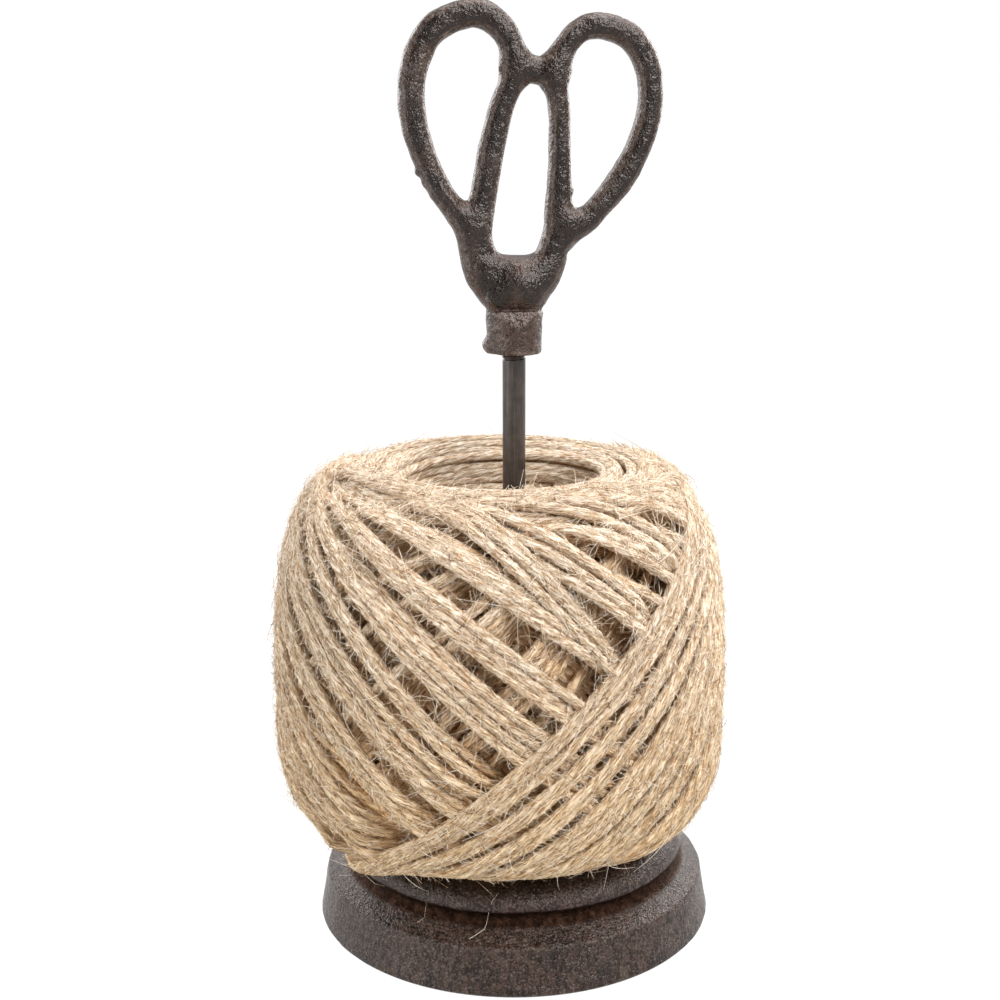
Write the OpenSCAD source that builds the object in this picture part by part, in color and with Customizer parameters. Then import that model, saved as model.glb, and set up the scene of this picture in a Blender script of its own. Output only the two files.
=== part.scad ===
// Counter stand for a ball of twine: cast base, steel rod, screwed-on scissor-bow finial.
// Millimetres. Origin on the table under the rod, +Z up, seen from the front along +Y.

/* [Base] */
// Diameter of the foot where it meets the table
base_d = 100; // [92:1:120]
// Height of the skirt's rounded top edge
skirt_h = 12; // [9:0.5:13]
// Diameter at the skirt's top edge
skirt_top_d = 96; // [92:0.5:98]
// Height where the sloping shoulder meets the riser
shoulder_h = 14; // [13.5:0.5:15]
// Diameter of the riser between shoulder and upper tier
riser_d = 86; // [82:0.5:90]
// Height where the upper tier starts to round over
tier_h = 18; // [16.5:0.5:20]
// Height of the flat platform that carries the ball
platform_h = 23.5; // [22:0.5:30]
// Diameter of that flat platform
platform_d = 72; // [60:1:80]
// Wall thickness of the hollow casting
base_wall = 6; // [4:0.5:7]
// Diameter of the tapped hub under the platform
hub_d = 20; // [15:0.5:30]
// Height of the hub's lower face above the table
hub_clear = 9; // [8.5:0.1:11]

/* [Rod and fixings] */
// Diameter of the plain shank
shank_d = 5.6; // [4.5:0.1:5.8]
// Outside diameter of the threads
thread_d = 5.9; // [5.85:0.01:6]
// Radial play between a thread and its tapped hole
thread_play = 0.05; // [0.02:0.01:0.1]
// Length of thread in and under the base
lower_thread = 22; // [15:0.5:30]
// Thread left showing below the finial
thread_showing = 1.8; // [0.5:0.1:6]
// Height of the rod's lower end above the table
rod_clear = 1.5; // [0.5:0.1:2]
// Width of the nut across its flats
nut_af = 10; // [9:0.5:11]
// Thickness of the nut
nut_h = 5; // [4:0.1:5.5]
// Outside diameter of the washer
washer_d = 12; // [11:0.5:18]
// Thickness of the washer
washer_h = 1.6; // [0.8:0.1:1.6]

/* [Finial] */
// Height of the finial's lower face above the table
finial_z = 144; // [138:1:170]
// Overall height of the finial
finial_h = 81; // [70:1:95]
// Overall width of the finial across its bows
finial_w = 61.5; // [52:0.5:75]
// Turn of the finial on its thread, in degrees
finial_turn = 8; // [-45:1:45]
// Width of the bars in the plane of the bows
bar_w = 5.8; // [4.5:0.1:7]
// Thickness of the bars from front to back
bar_t = 6.6; // [5:0.1:8]
// Diameter of the boss on the rod
boss_d = 13.9; // [11:0.1:18]
// Height of the boss
boss_h = 11; // [8:0.5:14]
// Depth of the tapped hole in the boss
bore_depth = 13; // [10:0.5:15]

/* [Ball of twine] */
// Diameter of the ball at its widest
ball_d = 112; // [100:1:118]
// Height of the ball
ball_h = 93.5; // [85:0.5:105]
// Height of the widest point above the ball's underside
belly_h = 33; // [28:0.5:45]
// Diameter of the rim round the open middle
mouth_d = 57; // [52:0.5:60]
// Diameter of the open middle at its narrowest
ball_bore_d = 30; // [24:0.5:36]
// Sideways lean of the ball's axis from the rod, to the left
ball_offset = 3.6; // [0:0.1:5]
// Diameter of the twine
twine_d = 2.9; // [2:0.1:3.2]
// Loops in the outer layer
loops = 18; // [10:1:18]

/* [Hidden] */
$fn = 96;
rest_gap = 0.3;
edge_r = 1.2;
thread_r = thread_d / 2;
tapped_r = thread_r + thread_play;
base_r = base_d / 2;
skirt_r = skirt_top_d / 2;
riser_r = riser_d / 2;
platform_r = platform_d / 2;
ceiling_h = platform_h - base_wall;
nut_top = hub_clear - washer_h;
nut_bottom = nut_top - nut_h;
rod_tip_gap = 0.6;
rod_top = finial_z + bore_depth - rod_tip_gap;

// Colours as seen in the photograph
iron = [0.23, 0.19, 0.18];
steel = [0.3, 0.29, 0.3];
jute = [0.76, 0.64, 0.47];
jute_shade = [0.6, 0.48, 0.32];

// Joins rings of equal count into one skin of triangles, either closed on itself or capped.
module skin(rings, closed = false) {
    sides = len(rings[0]);
    count = len(rings);
    last = (count - 1) * sides;
    walls = [for (i = [0 : closed ? count - 1 : count - 2], j = [0 : sides - 1])
        let (
            a = i * sides + j,
            b = i * sides + (j + 1) % sides,
            c = (i + 1) % count * sides + j,
            d = (i + 1) % count * sides + (j + 1) % sides
        )
        each [[a, d, b], [a, c, d]]];
    caps = [for (j = [1 : sides - 2]) each [[0, j, j + 1], [last, last + j + 1, last + j]]];
    polyhedron([for (ring = rings) each ring], concat(walls, closed ? [] : caps), convexity = 10);
}

// Catmull-Rom curve through a list of points: whole values of t are the points themselves.
function curve(points, t, closed) =
    let (
        n = len(points),
        i = closed ? floor(t) : min(floor(t), n - 2),
        f = t - i,
        b = points[(i + n) % n],
        c = points[(i + 1 + n) % n],
        a = closed || i > 0 ? points[(i - 1 + n) % n] : 2 * b - c,
        d = closed || i + 2 < n ? points[(i + 2) % n] : 2 * c - b
    )
    b + f / 2 * (c - a) + f * f * (a - 2.5 * b + 2 * c - d / 2) + f * f * f * (1.5 * (b - c) + (d - a) / 2);

function unit(v) = v / norm(v);

// Arc in a lathe profile, from one angle to another round a centre, with its own two radii.
function arc(centre, radii, from, to, steps = 8) =
    [for (i = [0 : steps])
        let (a = from + (to - from) * i / steps)
        centre + [radii[0] * cos(a), radii[1] * sin(a)]];

/* Base: hollow lathe form with a skirt, a sloping shoulder, a riser and a rounded upper tier. */
module base_casting() {
    foot_edge = 0.6;
    cove = 0.7;
    corner = 2;
    inner_r = riser_r - base_wall;
    foot_inner_r = base_r - base_wall;
    slope_h = skirt_h - corner;
    outside = concat(
        [[base_r - foot_edge, 0], [base_r, foot_edge]],
        arc([skirt_r - edge_r, skirt_h - edge_r], [edge_r, edge_r], 5, 75, 5),
        [[riser_r + cove, shoulder_h], [riser_r, shoulder_h + cove]],
        arc([platform_r, tier_h], [riser_r - platform_r, platform_h - tier_h], 0, 90, 10)
    );
    hollow = [
        [0, ceiling_h],
        [inner_r - corner, ceiling_h],
        [inner_r, ceiling_h - corner],
        [inner_r, slope_h],
        [foot_inner_r, max(slope_h - (foot_inner_r - inner_r), corner)],
        [foot_inner_r, -1],
        [0, -1]
    ];
    color(iron)
    difference() {
        union() {
            difference() {
                rotate_extrude() polygon(concat([[0, 0]], outside, [[0, platform_h]]));
                rotate_extrude() polygon(hollow);
            }
            translate([0, 0, hub_clear])
                cylinder(d = hub_d, h = platform_h - hub_clear - 1);
        }
        cylinder(r = tapped_r, h = 3 * platform_h, center = true);
    }
}

/* Rod: plain shank between two threaded ends. */
module spindle_rod() {
    color(steel) {
        translate([0, 0, rod_clear])
            cylinder(d = thread_d, h = lower_thread);
        translate([0, 0, rod_clear + lower_thread])
            cylinder(d = shank_d, h = finial_z - thread_showing - rod_clear - lower_thread);
        translate([0, 0, finial_z - thread_showing])
            cylinder(d = thread_d, h = rod_top - finial_z + thread_showing);
    }
}

module washer() {
    hole_play = 0.2;
    color(steel)
    translate([0, 0, nut_top])
    difference() {
        cylinder(d = washer_d, h = washer_h);
        translate([0, 0, -1]) cylinder(r = tapped_r + hole_play, h = washer_h + 2);
    }
}

/* Nut: hexagon with its corners turned off to a cone above and below. */
module lock_nut() {
    corner_r = nut_af / sqrt(3);
    turned_r = corner_r + 0.1;
    chamfer = 0.6;
    color(steel)
    translate([0, 0, nut_bottom])
    difference() {
        intersection() {
            cylinder(r = corner_r, h = nut_h, $fn = 6);
            rotate_extrude() polygon([
                [0, 0], [nut_af / 2, 0], [turned_r, chamfer],
                [turned_r, nut_h - chamfer], [nut_af / 2, nut_h], [0, nut_h]
            ]);
        }
        translate([0, 0, -1]) cylinder(r = tapped_r, h = nut_h + 2);
    }
}

// Centre lines of the finial's bars, drawn at this width and height from the boss's lower face.
drawn_w = 61.5;
drawn_h = 81;
stretch = [finial_w / drawn_w, finial_h / drawn_h];
left_bow = [[-11, 33.2], [-15.5, 37.5], [-20, 44.5], [-23.2, 54.5], [-23.5, 65], [-19, 74.5],
    [-10, 78.3], [-2.7, 74.5], [-0.5, 66.5], [-3, 57], [-5.2, 48], [-6.8, 38]];
right_bow = [[15.3, 31.7], [20.5, 35.2], [26, 42.3], [30, 51], [31.8, 60], [30, 69], [26, 74],
    [19, 76], [13, 72.8], [9.9, 67], [10, 59.5], [10.7, 50], [10.9, 40], [11.8, 34.2]];
bridge = [[-0.7, 66], [4.7, 65.6], [10.2, 66]];
left_stem = [[-7.5, 17], [-9, 25], [-11, 33]];
right_stem = [[7.5, 17], [10.5, 25], [15, 32]];

// One bar of the finial: a soft-cornered section carried along a curve in the XZ plane.
module bar(points, width, thick, closed = false) {
    per_point = 3;
    sides = 10;
    look = 0.05;
    placed = [for (p = points) [p[0] * stretch[0], p[1] * stretch[1]]];
    span = closed ? len(placed) : len(placed) - 1;
    soft = function (x) sign(x) * pow(abs(x), 0.8);
    skin([for (k = [0 : span * per_point - (closed ? 1 : 0)])
        let (
            t = k / per_point,
            near = closed ? [t - look, t + look] : [max(t - look, 0), min(t + look, span)],
            p = curve(placed, t, closed),
            along = unit(curve(placed, near[1], closed) - curve(placed, near[0], closed)),
            across = [along[1], -along[0]]
        )
        [for (j = [0 : sides - 1])
            let (
                a = 360 * (j + 0.5) / sides,
                q = p + across * width / 2 * soft(cos(a))
            )
            [q[0], thick / 2 * soft(sin(a)), q[1]]]], closed);
}

/* Finial: two bows on short stems, the web between them, a throat, and a tapped boss on the rod. */
module handle_casting() {
    throat_h = 19 * stretch[1];
    throat_w = 16 * stretch[0];
    throat_d = 8.6;
    throat_lap = 1.5;
    stem_w = 9;
    stem_t = bar_t + 0.3;
    bridge_t = bar_t - 0.6;
    boss_taper = 0.6;
    taper_h = 0.4 * boss_h;
    foot_round = 2;
    foot_r = boss_d / 2 - boss_taper - foot_round;
    color(iron)
    translate([0, 0, finial_z])
    rotate([0, 0, finial_turn])
    difference() {
        union() {
            rotate_extrude() polygon(concat(
                [[0, 0]],
                arc([foot_r, foot_round], [foot_round, foot_round], -90, 0, 5),
                [[boss_d / 2, taper_h], [boss_d / 2, boss_h], [0, boss_h]]
            ));
            hull() {
                translate([0, 0, boss_h - throat_lap])
                    cylinder(d = boss_d - boss_taper, h = throat_lap, $fn = 24);
                for (side = [-1, 1])
                    translate([side * throat_w / 2, 0, throat_h]) sphere(d = throat_d, $fn = 16);
            }
            bar(left_stem, stem_w, stem_t);
            bar(right_stem, stem_w, stem_t);
            bar(left_bow, bar_w, bar_t, closed = true);
            bar(right_bow, bar_w, bar_t, closed = true);
            bar(bridge, bar_w, bridge_t);
        }
        translate([0, 0, -1]) cylinder(r = tapped_r, h = bore_depth + 1);
    }
}

/* Ball of twine */
ball_r = ball_d / 2;
mouth_r = mouth_d / 2;
ball_bottom = platform_h + rest_gap;
squareness = 3;
twine_gap = 0.45;
// How far a straight stretch between two rings dips under the curve
chord_dip = 0.85;
// Depth between the two crossing families of strands
crossing_pitch = twine_d + twine_gap + chord_dip;
// Depth of the older windings under the ball's outline
core_depth = twine_d + crossing_pitch + chord_dip + rest_gap;
rings_per_loop = 24;
twine_sides = 6;

// Outline of the ball, from its lower rim to its upper rim, as a soft-cornered half oval.
outline = [for (a = [-90 : 3 : 90])
    let (
        c = cos(a),
        s = sin(a),
        reach = pow(pow(c, squareness) + pow(abs(s), squareness), -1 / squareness),
        rise = a < 0 ? belly_h : ball_h - belly_h
    )
    [mouth_r + (ball_r - mouth_r) * reach * c, ball_bottom + belly_h + rise * reach * s]];

function lengths(points, i = 1, sum = [0]) =
    i == len(points) ? sum
    : lengths(points, i + 1, concat(sum, [sum[i - 1] + norm(points[i] - points[i - 1])]));

// Arc length along the outline, which places a strand between the two rims
run = lengths(outline);
run_end = run[len(run) - 1];
radius_table = [for (i = [0 : len(run) - 1]) [run[i], outline[i][0]]];
height_table = [for (i = [0 : len(run) - 1]) [run[i], outline[i][1]]];
function on_outline(s) = [lookup(s, radius_table), lookup(s, height_table)];
look_s = 2;
function outward(s) =
    let (t = unit(on_outline(min(s + look_s, run_end)) - on_outline(max(s - look_s, 0))))
    [t[1], -t[0]];

// Reach of a turn to each side of the middle, leaving the strand outside the open mouth
swing = run_end / 2 - 1.2 * twine_d;
function spin(p, a) = [p[0] * cos(a), p[0] * sin(a), p[1]];

// Winding: each full turn of the angle a is one tilted loop, and the tilt creeps round from loop
// to loop. Falling strands lie on top, and rising strands run under them.
creep = 360 / loops;
function place(a) = run_end / 2 + swing * cos(a);
function facing(a) = spin(outward(place(a)), a - creep * a / 360);
function strand(a) =
    let (
        s = place(a),
        depth = twine_d / 2 + (sin(a) > 0 ? 0 : crossing_pitch)
    )
    spin(on_outline(s) - depth * outward(s), a - creep * a / 360);
function heading(a) = unit(strand(a + 1) - strand(a - 1));
function sideways(a) = unit(cross(heading(a), facing(a)));

// The two ends bend down between the strands below and meet the core square on.
end_bend = 2.5;
seat_gap = 0.05;
ring_step = 360 / rings_per_loop;
crossing_step = 180 / (loops - 1);
first_a = 90;
last_a = first_a + 360 * loops - 4 * crossing_step;
function end_run(a, way) =
    let (
        p = strand(a),
        t = way * heading(a),
        n = facing(a)
    )
    concat(
        [for (b = [0 : 30 : 90]) p - end_bend * (t + n) + end_bend * (n * cos(b) + t * sin(b))],
        [p - (core_depth - twine_d / 2 - seat_gap) * n]
    );
function backwards(list) = [for (i = [len(list) - 1 : -1 : 0]) list[i]];

loop_angles = [for (a = [first_a + ring_step / 2 : ring_step : last_a - ring_step / 4]) a];
head = backwards(end_run(first_a, -1));
tail = end_run(last_a, 1);
wound = concat(head, [for (a = loop_angles) strand(a)], tail);
wound_side = concat(
    [for (p = head) sideways(first_a)],
    [for (a = loop_angles) sideways(a)],
    [for (p = tail) sideways(last_a)]
);

// Least distance between points of the winding that aren't neighbours along it, less the twine.
function least_gap(points, apart) =
    min([for (i = [0 : len(points) - 1 - apart], j = [i + apart : len(points) - 1])
        norm(points[i] - points[j])]) - twine_d;

module twine_outer_turns() {
    last = len(wound) - 1;
    between = [for (i = [len(head) : last - len(tail)]) each [wound[i], (wound[i] + wound[i + 1]) / 2]];
    echo(least_gap_mm = least_gap(between, 6));
    color(jute)
    translate([-ball_offset, 0, 0])
    skin([for (i = [0 : last])
        let (
            along = unit(wound[min(i + 1, last)] - wound[max(i - 1, 0)]),
            right = unit(wound_side[i] - along * (along * wound_side[i])),
            up = cross(right, along)
        )
        [for (j = [0 : twine_sides - 1])
            let (b = 360 * j / twine_sides)
            wound[i] + twine_d / 2 * (right * cos(b) + up * sin(b))]]);
}

/* Older windings: a hollow body under the outer turns, with a collar at each end of its middle. */
module twine_core() {
    ball_top = ball_bottom + ball_h;
    collar_wall = 4.5;
    collar_edge = 1;
    collar_top = ball_top - 2;
    collar_r = mouth_r - collar_wall;
    funnel = 26;
    steps = 24;
    under_turns = [for (i = [0 : steps])
        let (s = run_end * i / steps)
        on_outline(s) - core_depth * outward(s)];
    color(jute_shade)
    translate([-ball_offset, 0, 0])
    rotate_extrude() polygon(concat(
        [[collar_r, ball_bottom], [mouth_r - collar_edge, ball_bottom], [mouth_r, ball_bottom + collar_edge]],
        under_turns,
        [[mouth_r, collar_top - collar_edge], [mouth_r - collar_edge, collar_top], [collar_r, collar_top]],
        [[ball_bore_d / 2, ball_top - funnel], [ball_bore_d / 2, ball_bottom + funnel]]
    ));
}

base_casting();
spindle_rod();
washer();
lock_nut();
handle_casting();
twine_core();
twine_outer_turns();
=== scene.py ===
import math

import bpy
import numpy as np
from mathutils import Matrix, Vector


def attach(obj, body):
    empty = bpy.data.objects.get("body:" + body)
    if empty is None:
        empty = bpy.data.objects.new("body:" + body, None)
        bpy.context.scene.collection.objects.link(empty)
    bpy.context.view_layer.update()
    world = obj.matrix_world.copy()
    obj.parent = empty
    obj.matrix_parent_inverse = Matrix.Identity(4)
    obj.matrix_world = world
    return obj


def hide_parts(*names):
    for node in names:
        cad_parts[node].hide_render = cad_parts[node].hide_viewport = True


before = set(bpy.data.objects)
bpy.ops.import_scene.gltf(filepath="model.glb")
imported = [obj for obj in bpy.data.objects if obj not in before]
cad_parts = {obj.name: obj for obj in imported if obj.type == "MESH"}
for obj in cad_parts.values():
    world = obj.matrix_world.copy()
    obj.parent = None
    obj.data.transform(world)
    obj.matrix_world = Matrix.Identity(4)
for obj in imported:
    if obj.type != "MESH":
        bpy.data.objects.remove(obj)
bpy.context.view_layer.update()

# Sizes are in millimetres, and a mesh is written in metres.
MM = 0.001

# Base casting
FOOT_R = 50.0
FOOT_CHAMFER = 0.6
SKIRT_H = 12.0
SKIRT_TOP_R = 48.0
SKIRT_FLARE = 0.15
SKIRT_EDGE = 1.2
SHOULDER_R = 43.7
SHOULDER_H = 14.0
COVE_FOOT = 0.3
COVE_DEPTH = 1.1
RISER_R = 43.0
RISER_TOP = 18.4
PLATFORM_R = 36.0
PLATFORM_H = 23.5
HOLLOW_CEILING = 17.5
HOLLOW_R = 37.0
FOOT_INNER_R = 44.0
HUB_R = 10.0
HUB_FOOT = 9.0
HUB_BORE_R = 3.05
BASE_COLUMNS = 520
BASE_LUMP = 4.5
BASE_SKIN = 0.20
PATCH_SIZE = 9.0
PATCH_GRAIN = 3.0
SKIN_DARK = 0.1
TIER_DARK = 0.15

# Spindle rod
SHANK_R = 2.8
THREAD_R = 2.95
THREAD_DEPTH = 0.42
THREAD_PITCH = 1.0
ROD_FOOT = 1.5
LOWER_THREAD_TOP = 23.5
UPPER_THREAD_FOOT = 142.2
ROD_TOP = 156.4
ROD_COLUMNS = 48
ROD_TIP = 0.82

# Finial, heights measured up from the foot of its boss. A line is a list of (across, up, width).
FINIAL_Z = 144.0
FINIAL_TURN = math.radians(8.0)
FINIAL_LOW = np.array([-29.0, -8.4, -1.0])
FINIAL_HIGH = np.array([37.5, 8.4, 84.8])
FINIAL_GRID = 0.42
FINIAL_LUMP = 3.2
FINIAL_SKIN = 0.22
CREST_SIZE = 5.0
BAR_T = 6.6
BOSS_FOOT_R = 6.55
BOSS_TOP_R = 6.95
BOSS_H = 10.4
BOSS_EDGE = 0.8
BORE_R = 3.1
BORE_DEPTH = 13.0
LEFT_BOW = (
    (-9.6, 30.4, 6.4), (-15.7, 36.2, 5.5), (-20, 43.8, 5.7), (-23.3, 53.6, 6.3), (-23.6, 64.8, 6.4),
    (-18.9, 74.8, 6.7), (-8.8, 78.6, 6.5), (-1.9, 74.1, 5.9), (-0.1, 65.9, 5.2), (-3.1, 57.1, 5.7),
    (-5.5, 47.4, 6.2), (-7.2, 37.8, 6.1),
)
RIGHT_BOW = (
    (15.4, 30.3, 5.9), (20.9, 35.1, 5.8), (26.6, 42.4, 6.3), (30.6, 50.6, 5.8), (32.4, 59.1, 5.7),
    (31.2, 67.7, 6), (26.8, 73.7, 6), (19.7, 75.9, 6), (13.8, 73.5, 5.5), (9.4, 65.5, 5.2), (10.5, 58.6, 4.9),
    (10.8, 49.5, 5), (10.8, 39.4, 5.8), (10.8, 32.4, 6.2),
)
BRIDGE = ((1.2, 66.5, 8.4), (2.9, 66.4, 6.6), (5.8, 65.9, 6.2), (8.8, 66.2, 6.6), (9, 65.8, 8.3))
LEFT_STEM = (
    (-5.2, 13.8, 6), (-7.2, 18.2, 8.1), (-8.4, 22, 8.7), (-9, 25.2, 8.3), (-10, 29.6, 7.5), (-11, 32.1, 6.5),
)
RIGHT_STEM = (
    (4.7, 13.8, 6), (6.6, 18.3, 7.9), (9.1, 22.9, 7.2), (9.1, 24.5, 6.8), (11.4, 28.6, 8.1), (12.8, 31.2, 7),
)
LOWER_WEB = ((-3.1, 13.6, 7.2), (3.1, 13.6, 7.2))
UPPER_WEB = ((-5.9, 19.8, 7.2), (6.7, 19.2, 7.1))
FLASH_RIDGE = ((-17.6, 39.4, 1.5), (-10.6, 30.9, 1.7), (-8.2, 30.6, 1.3))
FLASH_Y = -3.3
# Each bar of the finial: its line, whether that is closed, and its thickness.
BARS = (
    (LEFT_BOW, True, BAR_T), (RIGHT_BOW, True, BAR_T), (BRIDGE, False, BAR_T * 0.95),
    (LEFT_STEM, False, BAR_T + 0.6), (RIGHT_STEM, False, BAR_T + 0.6), (LOWER_WEB, False, 8.6),
    (UPPER_WEB, False, 7.6),
)
# Ellipsoids, each a centre and three radii, and round nodules with a radius.
KNUCKLES = (((1.2, -2.9, 16.4), (4.2, 3.2, 4.0)), ((0.6, 2.4, 16.6), (4.8, 2.8, 4.6)))
BOSS_BURR = ((-6.2, 0.0, 2.2), (1.5, 2.6, 1.7))
NODULES = (
    (-22.5, -0.5, 42.9, 1.0), (-20.7, 0.0, 40.4, 1.1), (-18.7, -0.4, 37.7, 1.0), (-2.9, -1.5, 66.4, 0.8),
    (13.3, -0.5, 38.4, 0.8),
)
BAR_FILLET = 0.9
KNUCKLE_FILLET = 1.0
GRIT_FILLET = 0.35

# Ball of twine, wound round an axis a little left of the rod
BALL_X = -3.6
BALL_R = 56.0
MOUTH_R = 28.5
BALL_FOOT = 23.8
BELLY_Z = 56.8
BALL_TOP = 117.3
LIP_R = 4.0
BORE_CORE_R = 15.0
FUNNEL = ((17.3, 84.0), (16.8, 70.0))
TWINE_D = 2.8
TWINE_LAY = 15.0
WANDER = 0.07
WANDER_STEP = 8.0
STRAND_LUMPS = 0.05
PLY_SECTION = np.array([0.92, 0.985, 1.0, 0.985] * 3)
# Where the plies meet, for the yarn's painted shade.
PLY_VALLEY = np.array([1.0, 0.25, 0.0, 0.25] * 3)

# Winding: clumps are (turns, step to the next clump), steps and phases are in degrees, swings in millimetres.
OLD_TURNS = 45
OUTER_TURNS = 105
PER_TURN = 720
NEWEST_PHASE = 17.3
NEWEST_SWING = 48.0
NEWEST_CLUMPS = ((3, 6.8), (2, 6.8), (2, 7.0), (3, 7.0), (2, 6.6), (3, 8.0))
NEWEST_SPREAD = (-0.4, 0.8)
CLUMP_SIZES = (2, 3, 3, 4, 4)
CLUMP_SPREAD = 0.6
TURN_STEP = 3.5
STEP_SPREAD = (0.94, 1.05)
GAP_STEPS = (7.2, 11.5)
SWINGS = (45.0, 51.5)
WIDE_SIZES = (2, 2, 3)
WIDE_STEP = TURN_STEP * 0.4
WIDE_SWINGS = (52.0, 58.5)
WIDE_SPREAD = 1.8
WIDE_CHANCE = ((150, 160, 220, 235, 350, 360), (0, 0.3, 0.3, 1, 1, 0))
# A turn's phase changes over a span of the turn, its line wobbles, and a wide one is flatter over the lip.
CREEP_SPAN = (0.22, 0.78)
WOBBLE = 0.9
LIP_FLATNESS = 0.08
LIP_SWINGS = (51, 60)
LAYER_CELL = 0.6
LAYER_PRESS = 0.47
DEEPEST_LAYER = 11.0
STRAND_SLOPE = 0.45
OUTLINE_STEP = 0.25

# How the foot is pressed up. A lobe is (height, azimuth of its middle, sharpness).
# A span is given along the outline.
FOOT_PRESS = 1.0
FRONT_PRESS = (2.9, -88, 6)
RIGHT_EASE = (1.2, -35, 10)
LEFT_SAG = (3.4, -133, 30)
PRESS_SPAN = (-38, -50)
SAG_SPANS = ((-32, -44), (-56, -49))

# Older turns: piece, where it starts along the outline, step of a turn, turns. They lie at one depth, less a
# rise over a span of the outline at the lip and in the mouth.
LININGS = (("twine_mouth_turns", 50.0, 1.85, 29), ("twine_foot_turns", -40.0, -1.9, 11))
LINING_PER_TURN = 144
LINING_DEPTH = 3.4
LIP_RISE = (1.4, (51, 59))
MOUTH_RISE = (0.8, (66, 74))

# Body under the turns: radius and bulge of its oval, its reach below and above the belly, then its inside
HEART_OVAL = (26.0, 19.5, 28.0, 50.0)
HEART_MOUTH = (26.8, BALL_TOP - 11)
HEART_BORE = ((BORE_CORE_R, 66.0), (BORE_CORE_R, BALL_FOOT + 2.5))
FUNNEL_LINING = 1.6
HEART_COLUMNS = 160

# Fuzz: piece, fibres, shortest and longest, lean, greatest height over the root, rings of a fibre
FUZZ = (
    ("twine_fuzz_1", 13400, 1.4, 4.0, 0.12, 0.6, 3), ("twine_fuzz_2", 13400, 1.4, 4.0, 0.25, 1.0, 3),
    ("twine_fuzz_3", 13400, 1.0, 3.0, 0.45, 1.3, 3), ("twine_fuzz_4", 4200, 3.5, 9.0, 0.2, 1.3, 6),
)
FUZZ_DEPTH = 5.6
FUZZ_WIDTHS = (0.055, 0.10)
FUZZ_ROOT = 0.47
FUZZ_FAN = 0.9
FUZZ_CURL = 0.45
FUZZ_LOWEST = -0.2
# Near the base only this share of the fibres is kept, and all of them above the second height.
FUZZ_LEAST = 0.10
FUZZ_HEIGHTS = (28, 44)
STRAY_ENDS = (((-44, -14), (-38, -18)), ((-10.5, -45.5), (-3, -41)), ((-23, -39), (-20, -37.5)))
STRAY_WIDTHS = (0.05, 0.08)
STRAY_CURL = 0.9
STRAY_RINGS = 14

# Seeds of the random draws
BASE_SEED = 11
PATCH_SEED = 31
PATCH_GRAIN_SEED = 32
FINIAL_SEED = 23
CREST_SEED = 41
WINDING_SEED = 5
STRAND_SEED = 8
LINING_SEED = 3
FUZZ_SEED = 21
STRAY_SEED = 77

# Camera, as solved from the photograph's ellipses
CAMERA_EYE = (0.0, -391.13, 204.68)
CAMERA_AIM = (0.0, 0.0, 107.34)
CAMERA_FOCAL_PX = 1633.3
STAND_AXIS_PX = 514.0
PHOTO_PX = 1000.0

# Studio. A lamp is (name, place, size, power).
WORLD_LIGHT = 0.65
FRONT_LIGHT = 0.04
FLOOR_SIZE = 6000.0
LAMP_AIM = (0, 0, 90)
LAMPS = (
    ("key", (370, -500, 560), 480, 6.2),
    ("left_fill", (-620, -260, 240), 480, 2.4),
    ("top", (140, 60, 760), 600, 4.8),
    ("back_right", (430, 480, 330), 420, 2.5),
    ("back_left", (-430, 480, 330), 420, 2.0),
)


# Meshes

def grid_faces(rows, columns, close_rows=False):
    """Quads of a grid of points numbered row by row, closed round its columns. Closed rows join the last to
    the first."""
    i = np.arange(rows if close_rows else rows - 1)[:, None]
    left = np.arange(columns)[None, :]
    below = i * columns
    above = (i + 1) % rows * columns
    right = (left + 1) % columns
    return np.stack([below + left, below + right, above + right, above + left], -1).reshape(-1, 4)


def tube_faces(rows, columns):
    """A grid's quads, and the two polygons that close its ends."""
    ring = np.arange(columns)
    return grid_faces(rows, columns), np.stack([ring[::-1], (rows - 1) * columns + ring])


def make_mesh(name, points, polygon_groups):
    """A mesh from points in millimetres and arrays of polygons, each array with one corner count."""
    mesh = bpy.data.meshes.new(name)
    points = np.asarray(points, float).reshape(-1, 3) * MM
    corners = np.concatenate([group.ravel() for group in polygon_groups]).astype(np.int32)
    counts = np.concatenate([np.full(len(group), group.shape[1]) for group in polygon_groups])
    starts = np.concatenate([[0], np.cumsum(counts)[:-1]]).astype(np.int32)
    mesh.vertices.add(len(points))
    mesh.vertices.foreach_set("co", points.astype(np.float32).ravel())
    mesh.loops.add(len(corners))
    mesh.loops.foreach_set("vertex_index", corners)
    mesh.polygons.add(len(counts))
    mesh.polygons.foreach_set("loop_start", starts)
    mesh.polygons.foreach_set("use_smooth", np.ones(len(counts), bool))
    mesh.update(calc_edges=True)
    mesh.validate()
    return mesh


def put(data):
    """Puts a mesh, a lamp or a camera in the scene, as an object of its name."""
    thing = bpy.data.objects.new(data.name, data)
    bpy.context.scene.collection.objects.link(thing)
    return thing


def add_piece(mesh, material, body, replaces=()):
    """Puts a mesh in the scene as a piece that rides on a body and stands for CAD nodes."""
    piece = put(mesh)
    mesh.materials.append(material)
    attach(piece, body)
    if replaces:
        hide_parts(*replaces)


def set_values(mesh, **values):
    """Stores one number per vertex under each name, for a material to read."""
    for name, numbers in values.items():
        layer = mesh.attributes.new(name, "FLOAT", "POINT")
        layer.data.foreach_set("value", np.asarray(numbers, np.float32).ravel())


def set_strand_uv(mesh, places):
    """Stores a place (length, turn) for each corner of each face, for the yarn to read."""
    layer = mesh.uv_layers.new(name="strand")
    layer.uv.foreach_set("vector", places.astype(np.float32).ravel())


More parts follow.
